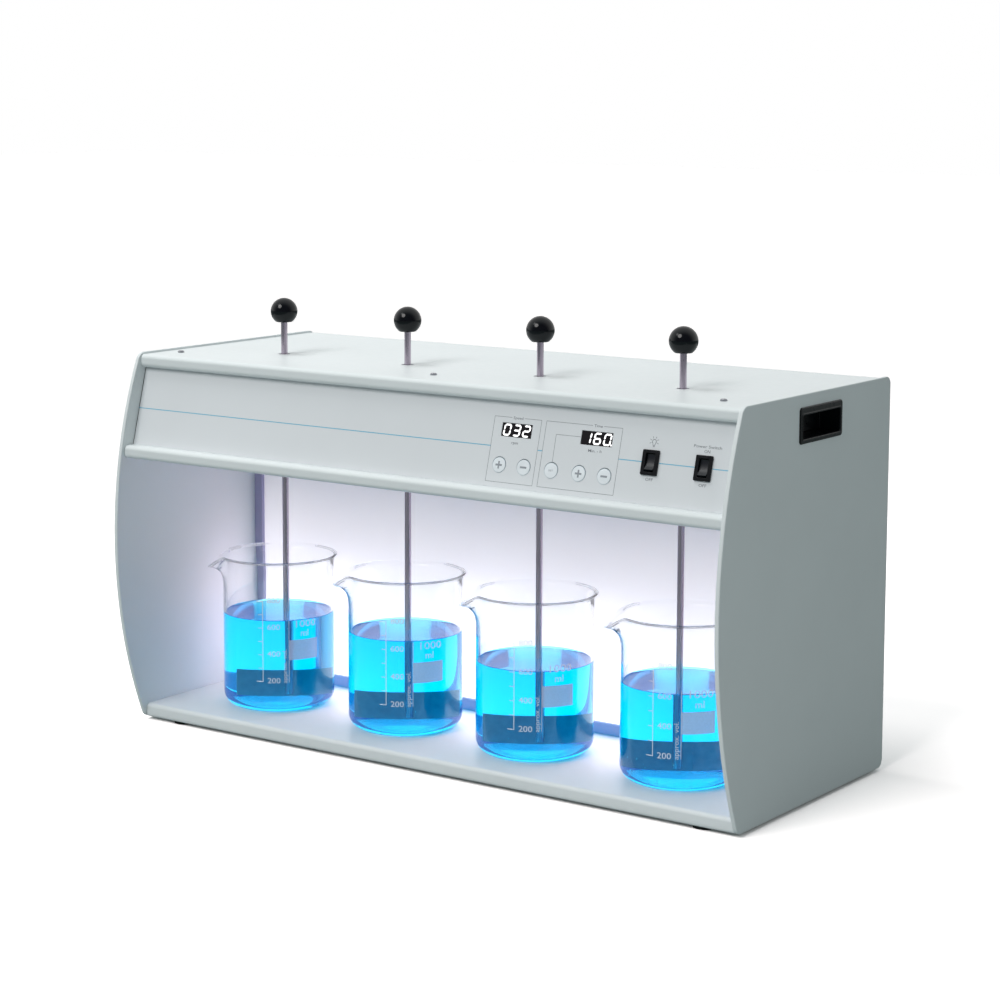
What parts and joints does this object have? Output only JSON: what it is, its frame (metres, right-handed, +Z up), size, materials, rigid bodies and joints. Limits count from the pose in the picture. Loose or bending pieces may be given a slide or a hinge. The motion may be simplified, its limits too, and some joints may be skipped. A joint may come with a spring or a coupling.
{
  "type": "jar tester",
  "caption": "Bench jar tester: a row of stirrers with ball knobs in a head above an open bay, glass beakers before a lit panel, speed and time controls on a sloping fascia.",
  "frame": {"origin": "on the bench, below the middle of the body and centred on the feet-to-panel outline", "axes": "+X along the front towards the controls, +Y from the front to the back, +Z up"},
  "size_m": [0.653, 0.289, 0.4015],
  "materials": {
    "side_paint": "semi-matt powder coat, fine texture",
    "base_paint": "satin powder coat",
    "foot_rubber": "matt",
    "cover_paint": "semi-matt powder coat, fine texture",
    "fascia_paint": "satin paint with screen prints",
    "rear_paint": "semi-matt powder coat, fine texture",
    "screw_steel": "turned, bright",
    "black_plastic": "fine moulded texture",
    "frame_paint": "satin paint",
    "opal_acrylic": "opal, lit from behind",
    "reflector_white": "gloss white",
    "tube_white": "phosphor white",
    "white_plastic": "moulded",
    "casing_metal": "plain sheet",
    "deck_aluminium": "mill finish",
    "bearing_aluminium": "turned",
    "motor_paint": "satin",
    "belt_rubber": "matt",
    "board_green": "solder mask",
    "display_black": "glossy window with white digits",
    "idler_plastic": "turned",
    "spindle_steel": "ground",
    "pulley_plastic": "moulded",
    "rod_steel": "ground, bright",
    "knob_plastic": "polished",
    "beaker_glass": "clear, white printed scale",
    "button_plastic": "satin"
  },
  "bodies": {
    "root": {"side_panel_left": "side_paint", "side_panel_right": "side_paint", "base_plate": "base_paint", "feet": "foot_rubber", "head_floor": "cover_paint", "control_panel": "fascia_paint", "top_cover": "cover_paint", "rear_cover": "rear_paint", "cover_screws": "screw_steel", "handle_left": "black_plastic", "handle_right": "black_plastic", "diffuser_frame": "frame_paint", "diffuser_panel": "opal_acrylic", "reflector": "reflector_white", "lamp_tubes": "tube_white", "lamp_holders": "white_plastic", "ballast": "casing_metal", "power_inlet": "black_plastic", "power_supply": "casing_metal", "bearing_deck": "deck_aluminium", "deck_posts": "screw_steel", "spindle_bearings": "bearing_aluminium", "idler_pins": "screw_steel", "motor": "motor_paint", "drive_belt": "belt_rubber", "control_board": "board_green", "display_speed": "display_black", "display_time": "display_black", "switch_housings": "black_plastic"},
    "spindle_1": {"spindle_1": "spindle_steel", "pulley_1": "pulley_plastic"},
    "spindle_2": {"spindle_2": "spindle_steel", "pulley_2": "pulley_plastic"},
    "spindle_3": {"spindle_3": "spindle_steel", "pulley_3": "pulley_plastic"},
    "spindle_4": {"spindle_4": "spindle_steel", "pulley_4": "pulley_plastic"},
    "stirrer_1": {"stirrer_1": "rod_steel", "knob_1": "knob_plastic"},
    "stirrer_2": {"stirrer_2": "rod_steel", "knob_2": "knob_plastic"},
    "stirrer_3": {"stirrer_3": "rod_steel", "knob_3": "knob_plastic"},
    "stirrer_4": {"stirrer_4": "rod_steel", "knob_4": "knob_plastic"},
    "beaker_1": {"beaker_1": "beaker_glass"},
    "beaker_2": {"beaker_2": "beaker_glass"},
    "beaker_3": {"beaker_3": "beaker_glass"},
    "beaker_4": {"beaker_4": "beaker_glass"},
    "motor_rotor": {"motor_pulley": "screw_steel"},
    "idler_1": {"idler_1": "idler_plastic"},
    "idler_2": {"idler_2": "idler_plastic"},
    "idler_3": {"idler_3": "idler_plastic"},
    "button_speed_up": {"button_speed_up": "button_plastic"},
    "button_speed_down": {"button_speed_down": "button_plastic"},
    "button_set": {"button_set": "button_plastic"},
    "button_time_up": {"button_time_up": "button_plastic"},
    "button_time_down": {"button_time_down": "button_plastic"},
    "rocker_lamp": {"rocker_lamp": "black_plastic"},
    "rocker_power": {"rocker_power": "black_plastic"}
  },
  "joints": [
    {"name": "spindle_1_spin", "type": "hinge", "parent": "root", "child": "spindle_1", "pos_m": [-0.2175, -0.025, 0.26], "axis": [0, 0, 1], "continuous": true},
    {"name": "spindle_2_spin", "type": "hinge", "parent": "root", "child": "spindle_2", "pos_m": [-0.0725, -0.025, 0.26], "axis": [0, 0, 1], "continuous": true},
    {"name": "spindle_3_spin", "type": "hinge", "parent": "root", "child": "spindle_3", "pos_m": [0.0725, -0.025, 0.26], "axis": [0, 0, 1], "continuous": true},
    {"name": "spindle_4_spin", "type": "hinge", "parent": "root", "child": "spindle_4", "pos_m": [0.2175, -0.025, 0.26], "axis": [0, 0, 1], "continuous": true},
    {"name": "stirrer_1_lift", "type": "slide", "parent": "spindle_1", "child": "stirrer_1", "axis": [0, 0, 1], "range_m": [-0.003, 0.19]},
    {"name": "stirrer_2_lift", "type": "slide", "parent": "spindle_2", "child": "stirrer_2", "axis": [0, 0, 1], "range_m": [-0.003, 0.19]},
    {"name": "stirrer_3_lift", "type": "slide", "parent": "spindle_3", "child": "stirrer_3", "axis": [0, 0, 1], "range_m": [-0.003, 0.19]},
    {"name": "stirrer_4_lift", "type": "slide", "parent": "spindle_4", "child": "stirrer_4", "axis": [0, 0, 1], "range_m": [-0.003, 0.19]},
    {"name": "beaker_1_turn", "type": "hinge", "parent": "root", "child": "beaker_1", "pos_m": [-0.2235, -0.029, 0.0161], "axis": [0, 0, 1], "continuous": true},
    {"name": "beaker_2_turn", "type": "hinge", "parent": "root", "child": "beaker_2", "pos_m": [-0.0725, -0.029, 0.0161], "axis": [0, 0, 1], "continuous": true},
    {"name": "beaker_3_turn", "type": "hinge", "parent": "root", "child": "beaker_3", "pos_m": [0.0725, -0.031, 0.0161], "axis": [0, 0, 1], "continuous": true},
    {"name": "beaker_4_turn", "type": "hinge", "parent": "root", "child": "beaker_4", "pos_m": [0.2235, -0.031, 0.0161], "axis": [0, 0, 1], "continuous": true},
    {"name": "motor_spin", "type": "hinge", "parent": "root", "child": "motor_rotor", "pos_m": [0, 0.045, 0.298], "axis": [0, 0, 1], "continuous": true},
    {"name": "idler_1_spin", "type": "hinge", "parent": "root", "child": "idler_1", "pos_m": [-0.145, -0.04, 0.27], "axis": [0, 0, 1], "continuous": true},
    {"name": "idler_2_spin", "type": "hinge", "parent": "root", "child": "idler_2", "pos_m": [0, -0.04, 0.27], "axis": [0, 0, 1], "continuous": true},
    {"name": "idler_3_spin", "type": "hinge", "parent": "root", "child": "idler_3", "pos_m": [0.145, -0.04, 0.27], "axis": [0, 0, 1], "continuous": true},
    {"name": "button_speed_up_press", "type": "slide", "parent": "root", "child": "button_speed_up", "axis": [0, 0.9658, -0.2592], "range_m": [0, 0.0006], "stiffness_N_per_m": 500, "springref_m": -0.0006},
    {"name": "button_speed_down_press", "type": "slide", "parent": "root", "child": "button_speed_down", "axis": [0, 0.9658, -0.2592], "range_m": [0, 0.0006], "stiffness_N_per_m": 500, "springref_m": -0.0006},
    {"name": "button_set_press", "type": "slide", "parent": "root", "child": "button_set", "axis": [0, 0.9658, -0.2592], "range_m": [0, 0.0006], "stiffness_N_per_m": 500, "springref_m": -0.0006},
    {"name": "button_time_up_press", "type": "slide", "parent": "root", "child": "button_time_up", "axis": [0, 0.9658, -0.2592], "range_m": [0, 0.0006], "stiffness_N_per_m": 500, "springref_m": -0.0006},
    {"name": "button_time_down_press", "type": "slide", "parent": "root", "child": "button_time_down", "axis": [0, 0.9658, -0.2592], "range_m": [0, 0.0006], "stiffness_N_per_m": 500, "springref_m": -0.0006},
    {"name": "rocker_lamp_tilt", "type": "hinge", "parent": "root", "child": "rocker_lamp", "pos_m": [0.2408, -0.11061, 0.29861], "axis": [1, 0, 0], "range_deg": [0, 22]},
    {"name": "rocker_power_tilt", "type": "hinge", "parent": "root", "child": "rocker_power", "pos_m": [0.2907, -0.11061, 0.29861], "axis": [1, 0, 0], "range_deg": [0, 22]}
  ],
  "couplings": [
    {"joint": "spindle_2_spin", "follows": "spindle_1_spin", "ratio": 1},
    {"joint": "spindle_3_spin", "follows": "spindle_1_spin", "ratio": 1},
    {"joint": "spindle_4_spin", "follows": "spindle_1_spin", "ratio": 1},
    {"joint": "motor_spin", "follows": "spindle_1_spin", "ratio": 1.5},
    {"joint": "idler_1_spin", "follows": "spindle_1_spin", "ratio": -2},
    {"joint": "idler_2_spin", "follows": "spindle_1_spin", "ratio": -2},
    {"joint": "idler_3_spin", "follows": "spindle_1_spin", "ratio": -2}
  ]
}
